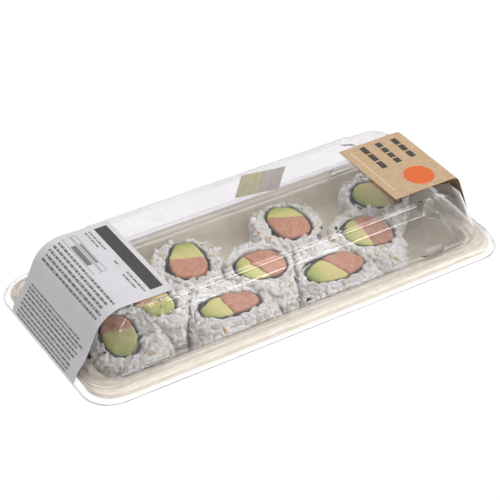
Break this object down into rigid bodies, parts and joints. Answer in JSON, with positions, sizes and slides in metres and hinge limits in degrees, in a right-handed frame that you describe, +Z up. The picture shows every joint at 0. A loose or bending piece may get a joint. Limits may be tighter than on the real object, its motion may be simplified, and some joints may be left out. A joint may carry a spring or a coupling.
{
  "type": "takeaway sushi tray",
  "caption": "Long shallow moulded-pulp tray of inside-out sushi rolls under a clear press-on lid with a white paper label, a kraft label and a small sticker.",
  "frame": {"origin": "centre of the pack's footprint, on the underside of the tray", "axes": "+X along the pack's length toward the kraft label, +Y from the long front wall to the back wall, +Z up from the tray to the lid"},
  "size_m": [0.225, 0.1, 0.0472],
  "materials": {
    "tray": "fibrous, matt",
    "lid": "clear, glossy",
    "white_label": "satin",
    "kraft_label": "matt",
    "back_sticker": "satin",
    "rice": "moist, lumpy",
    "nori": "satin",
    "avocado": "moist",
    "salmon": "moist"
  },
  "bodies": {
    "root": {"tray": "tray", "lid": "lid", "white_label": "white_label", "kraft_label": "kraft_label", "back_sticker": "back_sticker", "roll_1_rice": "rice", "roll_1_nori": "nori", "roll_1_avocado": "avocado", "roll_1_salmon": "salmon", "roll_2_rice": "rice", "roll_2_nori": "nori", "roll_2_avocado": "avocado", "roll_2_salmon": "salmon", "roll_3_rice": "rice", "roll_3_nori": "nori", "roll_3_avocado": "avocado", "roll_3_salmon": "salmon", "roll_4_rice": "rice", "roll_4_nori": "nori", "roll_4_avocado": "avocado", "roll_4_salmon": "salmon", "roll_5_rice": "rice", "roll_5_nori": "nori", "roll_5_avocado": "avocado", "roll_5_salmon": "salmon", "roll_6_rice": "rice", "roll_6_nori": "nori", "roll_6_avocado": "avocado", "roll_6_salmon": "salmon", "roll_7_rice": "rice", "roll_7_nori": "nori", "roll_7_avocado": "avocado", "roll_7_salmon": "salmon", "roll_8_rice": "rice", "roll_8_nori": "nori", "roll_8_avocado": "avocado", "roll_8_salmon": "salmon", "roll_9_rice": "rice", "roll_9_nori": "nori", "roll_9_avocado": "avocado", "roll_9_salmon": "salmon"}
  },
  "joints": []
}
